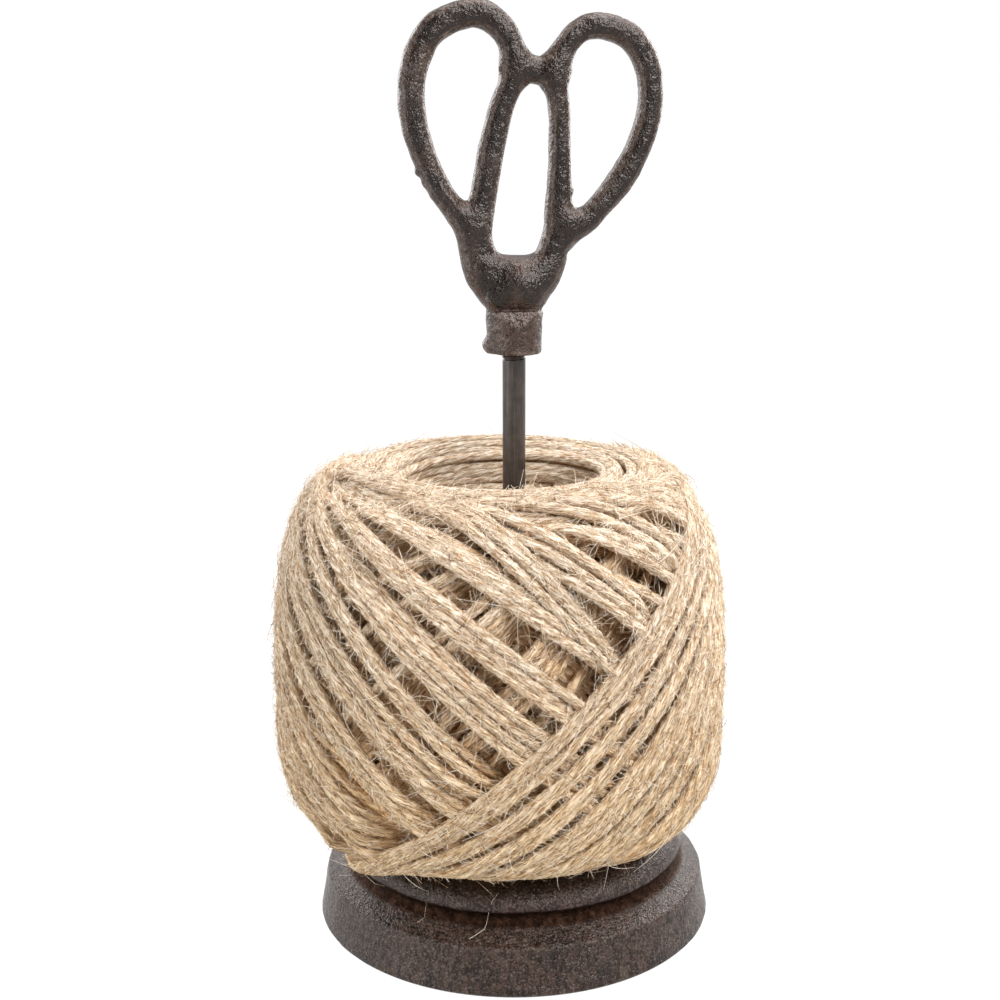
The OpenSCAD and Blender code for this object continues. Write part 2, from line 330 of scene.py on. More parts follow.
def read_points(mesh):
    """A mesh's points, in millimetres, and its vertex normals."""
    count = len(mesh.vertices)
    points = np.zeros(count * 3, np.float32)
    normals = np.zeros(count * 3, np.float32)
    mesh.vertices.foreach_get("co", points)
    mesh.vertex_normals.foreach_get("vector", normals)
    return points.reshape(-1, 3) / MM, normals.reshape(-1, 3).astype(float)


def write_points(mesh, points):
    """Puts moved points, in millimetres, back into a mesh."""
    mesh.vertices.foreach_set("co", (points * MM).astype(np.float32).ravel())
    mesh.update()


# Noise and curves

def smoothstep(low, high, x):
    """0 below low, 1 above high, and the cubic 3t^2 - 2t^3 between them."""
    t = np.clip((x - low) / (high - low), 0, 1)
    return t * t * (3 - 2 * t)


def lattice_noise(points, spacing, seed):
    """Value noise from -1 to 1: random numbers on a cubic lattice, blended by a smoothstep along each
    axis."""
    size = 64
    lattice = np.random.default_rng(seed).uniform(-1, 1, (size, size, size))
    scaled = np.asarray(points, float) / spacing
    cell = np.floor(scaled).astype(int)
    part = smoothstep(0, 1, scaled - cell)
    total = np.zeros(len(scaled))
    for corner in np.ndindex(2, 2, 2):
        weight = np.where(np.array(corner) == 1, part, 1 - part).prod(1)
        at = (cell + corner) % size
        total += weight * lattice[at[:, 0], at[:, 1], at[:, 2]]
    return total


def cast_skin(points, lump, seed):
    """Height of a sand-cast skin, from about -1 to 1: noise at four sizes, each half as wide as the one
    before and lower by 1.7."""
    grains = [lattice_noise(points, lump / 2 ** k, seed + k) / 1.7 ** k for k in range(4)]
    return sum(grains) / 1.6


def smooth_curve(control, count, closed):
    """Points along a Catmull-Rom curve through the control points."""
    p = np.asarray(control, float)
    n = len(p)
    spans = n if closed else n - 1
    t = np.linspace(0, spans, count, endpoint=not closed)
    i = np.minimum(t.astype(int), spans - 1)
    f = (t - i)[:, None]

    def at(k):
        return p[k % n] if closed else p[np.clip(k, 0, n - 1)]

    a, b, c, d = at(i - 1), at(i), at(i + 1), at(i + 2)
    square = 2 * a - 5 * b + 4 * c - d
    cube = 3 * b - a - 3 * c + d
    return 0.5 * (2 * b + (c - a) * f + square * f ** 2 + cube * f ** 3)


def lathe(radius, height, columns):
    """A surface round Z, with a radius for each row, or for each row and column, and a height for each row:
    point = (r cos a, r sin a, z)."""
    angle = np.linspace(0, 2 * np.pi, columns, endpoint=False)
    x = radius * np.cos(angle)
    y = radius * np.sin(angle)
    return np.stack([x, y, np.broadcast_to(height[:, None], x.shape)], -1)


def along(corners, step):
    """Points every step or so along straight lines between corners."""
    parts = []
    for a, b in zip(corners[:-1], corners[1:]):
        n = max(1, int(np.ceil(math.dist(a, b) / step)))
        parts.append(np.linspace(a, b, n, endpoint=False))
    return np.concatenate(parts + [np.array([corners[-1]], float)])


def arc(centre, radii, start, end, count):
    """Points on an ellipse's arc, with angles in degrees."""
    t = np.radians(np.linspace(start, end, count))
    return np.stack([centre[0] + radii[0] * np.cos(t), centre[1] + radii[1] * np.sin(t)], -1)


def unit(vectors):
    """Vectors divided by their lengths."""
    return vectors / np.linalg.norm(vectors, axis=-1, keepdims=True)


def length_along(points):
    """The length run so far at each point of a line."""
    return np.concatenate([[0], np.cumsum(np.linalg.norm(np.diff(points, axis=0), axis=1))])


# Shaders

class Term:
    """A socket in a node tree. Arithmetic on it adds Math nodes."""

    def __init__(self, nodes, socket):
        self.nodes = nodes
        self.socket = socket

    def _math(self, operation, *terms):
        return self.nodes.node("ShaderNodeMath", {"operation": operation}, dict(enumerate(terms)))

    def __add__(self, other):
        return self._math("ADD", self, other)

    def __radd__(self, other):
        return self._math("ADD", other, self)

    def __sub__(self, other):
        return self._math("SUBTRACT", self, other)

    def __rsub__(self, other):
        return self._math("SUBTRACT", other, self)

    def __mul__(self, other):
        return self._math("MULTIPLY", self, other)

    def __rmul__(self, other):
        return self._math("MULTIPLY", other, self)

    def cos(self):
        return self._math("COSINE", self)

    def sin(self):
        return self._math("SINE", self)

    def rise(self, low, high):
        """0 below low, 1 above high, smooth between them."""
        settings = {"interpolation_type": "SMOOTHSTEP"}
        return self.nodes.node("ShaderNodeMapRange", settings, {0: self, 1: low, 2: high, 3: 0.0, 4: 1.0})


class Nodes:
    """A node tree."""

    def __init__(self, tree):
        self.tree = tree

    def node(self, kind, settings=None, inputs=None, output=0):
        """Adds a node: its settings first, then the values or links of its sockets. Returns one output."""
        made = self.tree.nodes.new(kind)
        for key, value in (settings or {}).items():
            setattr(made, key, value)
        self.feed(made, inputs or {})
        return Term(self, made.outputs[output])

    def feed(self, made, inputs):
        """Links or sets sockets, named by their place or name."""
        for key, value in inputs.items():
            if isinstance(value, Term):
                self.tree.links.new(value.socket, made.inputs[key])
            else:
                made.inputs[key].default_value = value

    def axis(self, vector, k):
        """One of a vector's three numbers."""
        return self.node("ShaderNodeSeparateXYZ", None, {0: vector}, k)


class Finish(Nodes):
    """A material's node tree, with its Principled shader."""

    def __init__(self, name):
        self.material = bpy.data.materials.new(name)
        self.material.use_nodes = True
        super().__init__(self.material.node_tree)
        self.shader = next(n for n in self.tree.nodes if n.type == "BSDF_PRINCIPLED")

    def blend(self, share, first, second):
        """Colour mixed from first to second by a share."""
        settings = {"data_type": "RGBA", "clamp_factor": True}
        return self.node("ShaderNodeMix", settings, {0: share, 6: first, 7: second}, 2)

    def times(self, first, second):
        """Two colours or vectors multiplied, each number by its own."""
        return self.node("ShaderNodeVectorMath", {"operation": "MULTIPLY"}, {0: first, 1: second})

    def tone(self, colour, factor):
        """A colour made lighter or darker by a number."""
        return self.times(colour, self.node("ShaderNodeCombineXYZ", None, {0: factor, 1: factor, 2: factor}))

    def place(self, stretch=(1.0, 1.0, 1.0)):
        """Object coordinates in millimetres, each axis times its own number."""
        where = self.node("ShaderNodeTexCoord", None, None, "Object")
        return self.times(where, tuple(k / MM for k in stretch))

    def noise(self, where, scale, detail=3.0, roughness=0.55):
        """Noise from 0 to 1, with scale in features per millimetre."""
        inputs = {"Vector": where, "Scale": scale, "Detail": detail, "Roughness": roughness}
        return self.node("ShaderNodeTexNoise", None, inputs)

    def value(self, name):
        """A number stored on the mesh's vertices."""
        return self.node("ShaderNodeAttribute", {"attribute_name": name}, None, "Fac")

    def bump(self, height, distance):
        """A normal bent by a height, where distance is the real height in millimetres of a change of one."""
        inputs = {"Strength": 1.0, "Distance": distance * MM, "Height": height}
        return self.node("ShaderNodeBump", None, inputs)

    def finish(self, **sockets):
        """Sets the shader's sockets, with _ in a name for a space, and returns the material."""
        self.feed(self.shader, {name.replace("_", " "): value for name, value in sockets.items()})
        return self.material


def colour(red, green, blue):
    """A colour as four numbers, linear."""
    return (red, green, blue, 1.0)


def cast_iron(name, streaks, grit, gloss):
    """Antiqued cast iron: a dull red-brown skin, rusty in its hollows and lighter on its high spots and
    edges, partly wear from rubbing and partly a painted highlight. Light spots on the grain's peaks are
    painted glints. Where the mesh says dark it is black and glossier, and its grain glints: on the finial
    this is a painted dark reflection on the faces turned to the front and back, on the base random dark
    patches. Streaks run down a wall. Where the mesh marks painted shade, in the base's cove, it is dark brown
    metal that gives back little of what it mirrors."""
    f = Finish(name)
    here = f.place()
    grain = f.noise(here, 1.7, 2.0, 0.5)
    coarse = f.noise(here, 0.6, 3.0, 0.6)
    cloud = f.noise(here, 0.14, 3.0)
    streak = f.noise(f.place((1.0, 1.0, 0.12)), 0.8, 3.0, 0.6)
    hollow = f.value("hollow")
    height = f.value("height")
    # The mesh's mark for painted shade, in the base's cove.
    bare = f.value("bare")
    # The mesh's dark mark: on the finial a painted dark reflection on faces turned front and back, on the
    # base random dark patches.
    black = (f.value("dark") * (0.35 + coarse * 1.3)).rise(0.05, 0.95)
    pits = (grain * 0.6 + coarse * 0.4).rise(0.49, 0.41) * 0.85
    # Light spots on the grain's peaks: painted glints.
    glint_specks = grain.rise(0.55, 0.65) * (0.4 * streaks)
    polish = grain.rise(0.48, 0.62) * 0.13
    brown = f.blend(cloud.rise(0.35, 0.66), colour(0.031, 0.0145, 0.009), colour(0.049, 0.026, 0.0185))
    dusty = f.blend(coarse.rise(0.44, 0.60) * 0.6, brown, colour(0.078, 0.053, 0.041))
    lined = f.blend(streak.rise(0.50, 0.62) * streaks, dusty, colour(0.008, 0.005, 0.004))
    rusted = f.blend(hollow * (0.30 + cloud * 0.9), lined, colour(0.050, 0.019, 0.010))
    # Lighter high spots and edges: partly wear from rubbing, partly a painted highlight.
    rubbed_and_highlit = f.blend(height.rise(0.2, 0.9) * 0.6, rusted, colour(0.17, 0.135, 0.115))
    # Near black where the dark mark is: painted dark reflection on the finial, dark patches on the base.
    blackened_and_shaded = f.blend(black * 0.95, rubbed_and_highlit, colour(0.004, 0.003, 0.0025))
    pitted = f.blend(pits, blackened_and_shaded, colour(0.005, 0.003, 0.002))
    # The painted glints laid over the skin.
    with_painted_glints = f.blend(glint_specks, pitted, colour(0.20, 0.16, 0.14))
    # Colour of the painted shade in the base's cove: a mottled dark brown, made metallic so it mirrors
    # little.
    scale = f.blend(coarse.rise(0.38, 0.64), colour(0.018, 0.009, 0.006), colour(0.046, 0.023, 0.0145))
    return f.finish(
        Base_Color=f.blend(bare, with_painted_glints, scale), Metallic=bare,
        Roughness=0.30 - polish - black * 0.06 + bare * 0.29,
        Normal=f.bump(grain * grit + coarse * 0.6 + streak * (0.3 * streaks), 0.75),
        Specular_IOR_Level=gloss, Specular_Tint=colour(1.0, 0.89, 0.84),
    )


def rod_steel():
    """Blackened drawn steel: fine lines along the rod and a faint bloom of brown."""
    f = Finish("rod_steel")
    lines = f.noise(f.place((1.0, 1.0, 0.03)), 3.0, 3.0, 0.6)
    cloud = f.noise(f.place(), 0.2, 3.0)
    dark = f.blend(cloud.rise(0.35, 0.7), colour(0.030, 0.024, 0.021), colour(0.070, 0.054, 0.045))
    skin = f.blend(lines.rise(0.45, 0.75) * 0.5, dark, colour(0.11, 0.094, 0.084))
    return f.finish(
        Base_Color=skin, Roughness=0.26 + lines * 0.18, Metallic=0.25,
        Normal=f.bump(lines, 0.03), Specular_IOR_Level=0.5,
    )


def fixing_steel():
    """Dull zinc plate on the nut and the washer, with a crystal cloud and a few dark marks."""
    f = Finish("fixing_steel")
    here = f.place()
    cloud = f.noise(here, 0.5, 4.0)
    marks = f.noise(here, 1.4, 3.0).rise(0.6, 0.75)
    plate = f.blend(cloud, colour(0.33, 0.33, 0.32), colour(0.52, 0.52, 0.51))
    skin = f.blend(marks * 0.5, plate, colour(0.16, 0.14, 0.12))
    return f.finish(
        Base_Color=skin, Roughness=0.34 + cloud * 0.2, Metallic=0.9,
        Normal=f.bump(cloud, 0.05),
    )


def jute(name, shade):
    """Jute yarn: pale and brown fibres streaked along the strand, a painted brown shade between the plies,
    and orange-brown flecks. Where it lies deep among other strands it is lighter and more gold, a painted
    glow of light bounced among the strands. Painted light also makes it paler and cooler towards the ball's
    top and warmer low down. The streaks are noise on (length, cos turn, sin turn), so they close round the
    strand."""
    f = Finish(name)
    where = f.node("ShaderNodeUVMap", {"uv_map": "strand"})
    length = f.axis(where, 0)
    around = f.axis(where, 1) * (2 * math.pi)

    def strand_noise(lengthwise, crosswise, detail, offset):
        inputs = {
            0: length * lengthwise + offset,
            1: around.cos() * crosswise,
            2: around.sin() * crosswise,
        }
        return f.noise(f.node("ShaderNodeCombineXYZ", None, inputs), 1.0, detail, 0.6)

    streak = strand_noise(0.18, 1.5, 3.0, 0.0)
    fibre = strand_noise(0.40, 3.8, 3.0, 31.0)
    fleck = strand_noise(0.20, 1.3, 2.0, 77.0)
    up = f.axis(f.place(), 2)
    tan = f.blend(streak.rise(0.34, 0.62), colour(0.54, 0.37, 0.21), colour(0.74, 0.58, 0.39))
    pale = f.blend(fibre.rise(0.50, 0.60) * 0.85, tan, colour(0.95, 0.84, 0.68))
    brown = f.blend(fibre.rise(0.47, 0.37) * 0.88, pale, colour(0.25, 0.135, 0.06))
    flecked = f.blend(fleck.rise(0.62, 0.74) * 0.5, brown, colour(0.56, 0.28, 0.11))
    # Painted shade in the valleys between the plies.
    ply_valley_shade = f.blend(f.value("valley") * 0.36, flecked, colour(0.28, 0.16, 0.07))
    # Painted light: warmer low down, and paler and cooler towards the ball's top.
    painted_light_by_height = f.blend(up.rise(30.0, 112.0), colour(1.04, 0.98, 0.87), colour(0.99, 1.01, 1.09))
    # Painted glow: lighter and more gold where a strand lies deep among others.
    deep_glow = f.blend(f.value("deep"), colour(1.0, 1.0, 1.0), colour(1.20, 1.10, 0.95))
    warm = f.times(f.times(ply_valley_shade, painted_light_by_height), deep_glow)
    return f.finish(
        Base_Color=f.tone(warm, (f.value("tint") * 0.12 + 1.0) * shade), Roughness=0.85,
        Normal=f.bump(fibre * 0.9 + streak * 0.4, 0.45), Specular_IOR_Level=0.25,
    )


def loose_fibre():
    """Single jute fibres that stand off the strands: straw to brown, by a number per fibre."""
    f = Finish("jute_fibre")
    tint = f.value("tint")
    straw = f.blend(tint.rise(0.1, 0.8), colour(0.97, 0.88, 0.74), colour(0.64, 0.46, 0.29))
    skin = f.blend(tint.rise(0.80, 0.95), straw, colour(0.24, 0.13, 0.06))
    return f.finish(Base_Color=skin, Roughness=0.7, Specular_IOR_Level=0.3)


# Castings

def mean_bend(mesh):
    """How hollow the surface is at each vertex: its neighbours' mean place, measured out along the
    normal."""
    points, normals = read_points(mesh)
    ends = np.zeros(len(mesh.edges) * 2, np.int32)
    mesh.edges.foreach_get("vertices", ends)
    a, b = ends.reshape(-1, 2).T
    total = np.zeros_like(points)
    count = np.zeros(len(points))
    for here, there in ((a, b), (b, a)):
        np.add.at(total, here, points[there])
        np.add.at(count, here, 1)
    return ((total / count[:, None] - points) * normals).sum(1)


def finish_casting(mesh, skin):
    """Stores, for the iron's material, how high each point of the skin is and how hollow the shape is
    there."""
    bend = mean_bend(mesh)
    bend /= np.percentile(np.abs(bend), 95) + 1e-9
    hollow = np.clip(bend, 0, 1) * 0.6 + np.clip(-skin, 0, 1) * 0.5
    height = np.clip(-bend, 0, 1) * 0.7 + np.clip(skin, 0, 1) * 0.5
    set_values(mesh, hollow=np.clip(hollow, 0, 1), height=np.clip(height, 0, 1))


def base_profile():
    """The base's closed outline, (radius, height), from the foot's outer edge up, over and down inside. The
    riser is a shallow scotia, a straight line less depth * sin(pi t), and the platform's edge is a quarter
    of an ellipse."""
    step = 0.55
    rim_r = SKIRT_TOP_R + SKIRT_FLARE
    rim_z = SKIRT_H - SKIRT_EDGE
    skirt = along([(FOOT_R - FOOT_CHAMFER, 0), (FOOT_R, FOOT_CHAMFER), (rim_r, rim_z)], step)
    rounding = arc((rim_r - SKIRT_EDGE, rim_z), (SKIRT_EDGE, SKIRT_EDGE), 10, 78, 7)
    ledge = along([tuple(rounding[-1]), (SHOULDER_R, SHOULDER_H)], step)[1:]
    t = np.linspace(0, 1, 9)
    cove_r = SHOULDER_R - COVE_FOOT
    cove_z = SHOULDER_H + COVE_FOOT
    cove = np.stack([
        cove_r - (cove_r - RISER_R) * t - COVE_DEPTH * np.sin(np.pi * t),
        cove_z + (RISER_TOP - cove_z) * t,
    ], -1)
    quarter = arc((PLATFORM_R, RISER_TOP), (RISER_R - PLATFORM_R, PLATFORM_H - RISER_TOP), 4, 90, 20)
    deck = along([(PLATFORM_R - 0.3, PLATFORM_H), (HUB_BORE_R, PLATFORM_H)], 1.6)
    inside = along([
        (HUB_BORE_R, PLATFORM_H - 0.5), (HUB_BORE_R, HUB_FOOT), (HUB_R, HUB_FOOT),
        (HUB_R, HOLLOW_CEILING - 1), (HUB_R + 1, HOLLOW_CEILING), (HOLLOW_R - 2, HOLLOW_CEILING),
        (HOLLOW_R, HOLLOW_CEILING - 2), (FOOT_INNER_R, 0.5), (FOOT_INNER_R + 0.5, 0),
    ], 2.0)
    return np.concatenate([skirt, rounding, ledge, cove, quarter, deck, inside])


def base_casting(material):
    """The stepped base: its outline turned round Z, with a cast skin pushed out along the normals. The
    foot's sole, the platform under the ball and the hub's bore stay true."""
    r, z = base_profile().T
    points = lathe(r[:, None], z, BASE_COLUMNS)
    mesh = make_mesh("base_iron", points, [grid_faces(len(z), BASE_COLUMNS, True)])
    points, normals = read_points(mesh)
    radius = np.hypot(points[:, 0], points[:, 1])
    up = points[:, 2]
    free = smoothstep(0.0, 1.2, up) * smoothstep(HUB_BORE_R + 2, HUB_BORE_R + 5, radius)
    free *= 1 - 0.7 * smoothstep(PLATFORM_H - 1.2, PLATFORM_H - 0.2, up)
    skin = cast_skin(points, BASE_LUMP, BASE_SEED)
    write_points(mesh, points + normals * (BASE_SKIN * skin * free)[:, None])
    finish_casting(mesh, skin)
    # Painted shade: the riser's cove under the ball's overhang is marked to be painted a dark metallic brown.
    wall = smoothstep(SHOULDER_H - 0.2, SHOULDER_H + 0.6, up)
    wall *= smoothstep(RISER_TOP + 0.2, RISER_TOP - 0.5, up)
    patch = smoothstep(0.0, 0.7, lattice_noise(points, PATCH_SIZE, PATCH_SEED))
    patch *= 0.45 + 0.4 * lattice_noise(points, PATCH_GRAIN, PATCH_GRAIN_SEED)
    tier = TIER_DARK * smoothstep(RISER_TOP, RISER_TOP + 0.8, up)
    dark = np.clip(np.maximum(patch, tier) + SKIN_DARK, 0, 1)
    set_values(mesh, dark=dark, bare=wall * (radius > HOLLOW_R + 1))
    add_piece(mesh, material, "stand", ("base_casting",))


def bar(across, up, control, closed):
    """A bar's outline in the finial's plane: for each place the distance to the bar's middle line and the
    bar's half width at the nearest point. The line is a curve through its control points, and a closed one
    is evened out by leaving only its slow waves."""
    slow_waves = 12
    line = smooth_curve(control, 160 if closed else 48, closed)
    if closed:
        waves = np.fft.rfft(line, axis=0)
        waves[slow_waves:] = 0
        line = np.fft.irfft(waves, len(line), axis=0)
        line = np.concatenate([line, line[:1]])
    start, step = line[:-1], np.diff(line, axis=0)
    place = np.stack([across.ravel(), up.ravel()], -1)
    share = ((place[:, None] - start[:, :2]) * step[:, :2]).sum(2) / (step[:, :2] ** 2).sum(1)
    share = np.clip(share, 0, 1)
    nearest = start + share[..., None] * step
    away = np.linalg.norm(place[:, None] - nearest[..., :2], axis=2)
    half = nearest[..., 2] / 2
    best = np.argmin(away - half, axis=1)[:, None]
    return [np.take_along_axis(a, best, 1).reshape(across.shape)[:, None] for a in (away, half)]


def rounded_section(away, half, deep, half_depth):
    """About the distance to a bar's skin, below 0 inside: the section is the superellipse
    (away / half width)^2.5 + (depth / half depth)^2.5 = 1."""
    power = 2.5
    form = (away / half) ** power + (np.abs(deep) / half_depth) ** power
    return (form ** (1 / power) - 1) * np.minimum(half, half_depth)


def ellipsoid(place, centre, radii):
    """About the distance to an ellipsoid's skin, below 0 inside."""
    form = sum(((a - c) / r) ** 2 for a, c, r in zip(place, centre, radii))
    return (np.sqrt(form) - 1) * min(radii)


def boss(across, deep, up):
    """About the distance to the boss's skin: a round cone with rounded ends, and a tilted facet cut in
    front."""
    facet_y, facet_slope, facet_cos = 5.4, 0.42, 0.92
    cone = BOSS_FOOT_R + (BOSS_TOP_R - BOSS_FOOT_R) * up / BOSS_H
    wall = np.hypot(across, deep) - cone + BOSS_EDGE
    ends = np.abs(up - BOSS_H / 2) - BOSS_H / 2 + BOSS_EDGE
    outside = np.hypot(np.maximum(wall, 0), np.maximum(ends, 0))
    form = outside + np.minimum(np.maximum(wall, ends), 0) - BOSS_EDGE
    return np.maximum(form, (-deep - facet_y - facet_slope * (BOSS_H - up)) * facet_cos)


def joined(forms, fillet):
    """Forms run together with fillets: -k log of the sum of exp(-distance / k)."""
    farthest = 12
    return -fillet * np.log(sum(np.exp(-np.minimum(form, farthest) / fillet) for form in forms))


def skin_of(field, origin, step):
    """The surface where a field on a grid is 0. Each cell that it crosses gets one point, the mean of the
    crossings on the cell's edges, and each grid edge that it crosses gets one quad from the four cells round
    it."""
    cells = tuple(n - 1 for n in field.shape)
    total = np.zeros(cells + (3,))
    count = np.zeros(cells)
    edges = []
    for axis in range(3):
        one, two = (b for b in range(3) if b != axis)
        low = np.take(field, np.arange(cells[axis]), axis)
        high = np.take(field, np.arange(1, cells[axis] + 1), axis)
        crossed = (low < 0) != (high < 0)
        part = low / np.where(crossed, low - high, 1)
        edges.append((axis, one, two, crossed, low < 0))
        for i, j in np.ndindex(2, 2):
            window = [slice(None)] * 3
            window[one] = slice(i, i + cells[one])
            window[two] = slice(j, j + cells[two])
            hit = crossed[tuple(window)]
            total[..., axis] += np.where(hit, part[tuple(window)], 0)
            total[..., one] += hit * i
            total[..., two] += hit * j
            count += hit
    used = count > 0
    number = np.cumsum(used).reshape(cells) - 1
    points = (total[used] / count[used][:, None] + np.argwhere(used)) * step + origin
    quads = []
    for axis, one, two, crossed, inside in edges:
        at = np.argwhere(crossed)
        around = []
        for i, j in ((0, 0), (1, 0), (1, 1), (0, 1)):
            cell = at.copy()
            cell[:, one] -= i
            cell[:, two] -= j
            around.append(number[tuple(cell.T)])
        quad = np.stack(around, 1)
        turn = inside[crossed] == (axis == 1)
        quads.append(np.where(turn[:, None], quad[:, ::-1], quad))
    return points, np.concatenate(quads)


def relaxed(points, quads, rounds):
    """Points moved towards the mean of their neighbours, then back out a little more, so that the shape
    keeps its size."""
    inwards, outwards = 0.6, -0.62
    n = len(points)
    a = quads.ravel()
    b = np.roll(quads, -1, 1).ravel()
    count = np.bincount(a, minlength=n) + np.bincount(b, minlength=n)
    for share in (inwards, outwards) * rounds:
        total = np.stack([np.bincount(a, p[b], n) + np.bincount(b, p[a], n) for p in points.T], -1)
        points = points + share * (total / count[:, None] - points)
    return points


def finial_casting(material):
    """The scissor-bow finial as one field: bows, bridge, stems and webs run together with fillets, then the
    boss with its facet, the knuckle, the flash ridge and nodules, less the bore. Its skin gets a cast grain
    and is turned to its place."""
    spans = (np.arange(a, b, FINIAL_GRID) for a, b in zip(FINIAL_LOW, FINIAL_HIGH))
    place = across, deep, up = np.meshgrid(*spans, indexing="ij")
    flat = across[:, 0], up[:, 0]
    forms = []
    for control, closed, thickness in BARS:
        away, half = bar(*flat, control, closed)
        forms.append(rounded_section(away, half, deep, thickness / 2))
    field = joined(forms, BAR_FILLET)
    field = joined([field, *(ellipsoid(place, *knuckle) for knuckle in KNUCKLES)], KNUCKLE_FILLET)
    away, half = bar(*flat, FLASH_RIDGE, False)
    ridge = np.hypot(away, deep - FLASH_Y) - half / 2
    nodules = [ellipsoid(place, centre, (size,) * 3) for *centre, size in NODULES]
    field = joined([field, boss(*place), ridge, ellipsoid(place, *BOSS_BURR), *nodules], GRIT_FILLET)
    bore = np.maximum(np.hypot(across, deep) - BORE_R, up - BORE_DEPTH)
    points, quads = skin_of(np.maximum(field, -bore), FINIAL_LOW, FINIAL_GRID)
    mesh = make_mesh("finial_iron", relaxed(points, quads, 3), [quads])
    points, normals = read_points(mesh)
    # Painted dark reflection: faces turned to the front and back get a dark mark, broken up by noise and
    # weaker on the boss.
    crest = smoothstep(0.76, 0.97, np.abs(normals[:, 1]))
    crest *= 1.0 + 0.7 * lattice_noise(points, CREST_SIZE, CREST_SEED)
    crest *= 0.25 + 0.75 * smoothstep(BOSS_H - 1, BOSS_H + 2, points[:, 2])
    set_values(mesh, dark=np.clip(crest, 0, 1), bare=np.zeros(len(points)))
    skin = cast_skin(points, FINIAL_LUMP, FINIAL_SEED)
    free = smoothstep(BORE_R, BORE_R + 1, np.hypot(points[:, 0], points[:, 1]))
    points += normals * (FINIAL_SKIN * skin * free)[:, None]
    points[:, 2] = np.maximum(points[:, 2], 0.0)
    c, s = math.cos(FINIAL_TURN), math.sin(FINIAL_TURN)
    turned = points @ np.array([[c, s, 0], [-s, c, 0], [0, 0, 1]])
    write_points(mesh, turned + np.array([0, 0, FINIAL_Z]))
    finish_casting(mesh, skin)
    add_piece(mesh, material, "finial", ("handle_casting",))


# Rod

def spindle_rod(material):
    """The rod: radius = shank, or thread where r = crest - depth * (0.5 + 0.5 cos turn)^0.7 and the turn is
    2 pi z / pitch - angle, so the crest climbs one pitch each time round."""
    fine = THREAD_PITCH / 9
    z = np.concatenate([
        np.arange(ROD_FOOT, LOWER_THREAD_TOP, fine), np.arange(LOWER_THREAD_TOP, UPPER_THREAD_FOOT, 2.0),
        np.arange(UPPER_THREAD_FOOT, ROD_TOP, fine), [ROD_TOP],
    ])
    angle = np.linspace(0, 2 * np.pi, ROD_COLUMNS, endpoint=False)
    turn = 2 * np.pi * z[:, None] / THREAD_PITCH - angle[None, :]
    groove = THREAD_DEPTH * (0.5 + 0.5 * np.cos(turn)) ** 0.7
    lower = 1 - smoothstep(LOWER_THREAD_TOP - 0.8, LOWER_THREAD_TOP, z)
    upper = smoothstep(UPPER_THREAD_FOOT, UPPER_THREAD_FOOT + 0.5, z)
    threaded = (lower + upper)[:, None]
    radius = SHANK_R * (1 - threaded) + (THREAD_R - groove) * threaded
    tip = np.minimum(smoothstep(ROD_TOP, ROD_TOP - 1.0, z), smoothstep(ROD_FOOT, ROD_FOOT + 1.0, z))
    radius *= (ROD_TIP + (1 - ROD_TIP) * tip)[:, None]
    mesh = make_mesh("rod", lathe(radius, z, ROD_COLUMNS), tube_faces(len(z), ROD_COLUMNS))
    add_piece(mesh, material, "stand", ("spindle_rod",))


# Twine

def superoval(angles, inner_r, bulge, drop, rise):
    """The ball's oval, (radius, height): r = inner + bulge p cos t and z = belly height + rise p sin t,
    where p = (|cos t|^3 + |sin t|^3)^(-1/3), and below the belly drop takes the place of rise."""
    t = np.radians(angles)
    p = (np.abs(np.cos(t)) ** 3 + np.abs(np.sin(t)) ** 3) ** (-1 / 3)
    reach = np.where(t < 0, drop, rise)
    return np.stack([inner_r + bulge * p * np.cos(t), BELLY_Z + reach * p * np.sin(t)], -1)


def ball_outline():
    """The ball's half outline from under its foot to inside its mouth: arc length (0 half way up the
    superoval), radius, height and outward normal. A round lip leads from the oval into the mouth and down a
    funnel."""
    wall_r = MOUTH_R - LIP_R
    lip_z = BALL_TOP - LIP_R
    angles = np.linspace(-90, 90, 1441)
    oval = superoval(angles, MOUTH_R, BALL_R - MOUTH_R, BELLY_Z - BALL_FOOT, BALL_TOP - BELLY_Z)
    under = along([(MOUTH_R - 12, BALL_FOOT), (MOUTH_R, BALL_FOOT)], OUTLINE_STEP)[:-1]
    lip = arc((MOUTH_R, lip_z), (LIP_R, LIP_R), 91, 180, 30)
    wall = along([(wall_r, lip_z - OUTLINE_STEP), (wall_r, BALL_TOP - 10), *FUNNEL], OUTLINE_STEP)
    line = np.concatenate([under, oval, lip, wall])
    run = length_along(line)
    first, last = run[len(under)], run[len(under) + len(oval) - 1]
    slope = unit(np.gradient(line, axis=0))
    return run - (first + last) / 2, line[:, 0], line[:, 1], slope[:, 1], -slope[:, 0]


